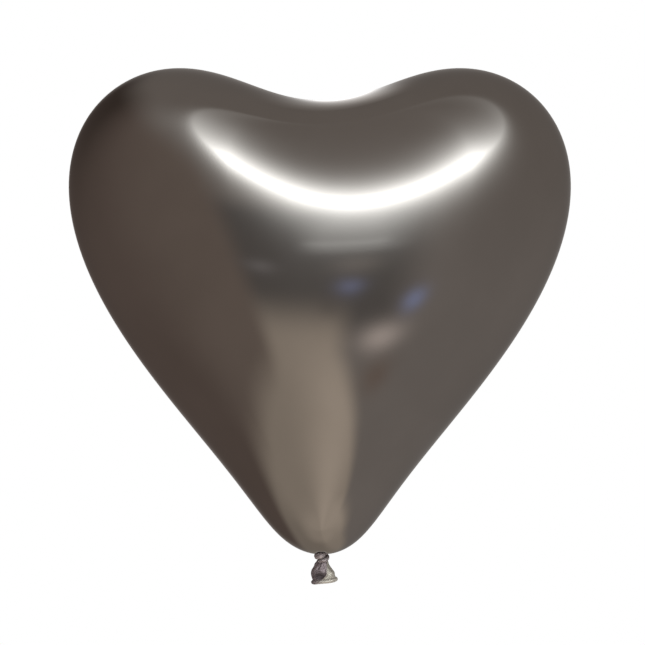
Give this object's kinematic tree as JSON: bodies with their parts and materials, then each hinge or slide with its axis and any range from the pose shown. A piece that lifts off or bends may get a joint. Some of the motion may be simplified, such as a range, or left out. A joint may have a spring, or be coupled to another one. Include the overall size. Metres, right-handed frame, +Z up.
{
  "type": "heart-shaped balloon",
  "caption": "Inflated heart-shaped latex balloon with a mirror-like metallic finish, tied off in its own neck above a flared, rolled lip.",
  "frame": {"origin": "the tie on the neck, between the film's tip and the knot", "axes": "+Z up from the neck through the cleft between the lobes, the heart's front faces -Y, +X to the right seen from the front"},
  "size_m": [0.2996, 0.1812, 0.308],
  "materials": {
    "film": "stretched latex with a mirror-like dark metallic finish",
    "gathered_latex": "unstretched, wrinkled latex with a satin metallic finish",
    "rolled_latex": "thick rolled latex bead with a satin metallic finish"
  },
  "bodies": {
    "balloon": {"heart_envelope": "film", "neck_bundle": "gathered_latex", "knot_wrap": "gathered_latex", "knot_tuck": "gathered_latex"},
    "bead": {"neck_bead": "gathered_latex"},
    "tail": {"tail_skirt": "gathered_latex", "rolled_lip": "rolled_latex"}
  },
  "joints": [
    {"name": "tail_nod", "type": "hinge", "parent": "balloon", "child": "bead", "pos_m": [0, 0, -0.0086], "axis": [1, 0, 0], "range_deg": [-30, 30], "stiffness_Nm_per_rad": 0.00004},
    {"name": "tail_sway", "type": "hinge", "parent": "bead", "child": "tail", "pos_m": [0, 0, -0.0086], "axis": [0, 1, 0], "range_deg": [-30, 30], "stiffness_Nm_per_rad": 0.00004}
  ]
}
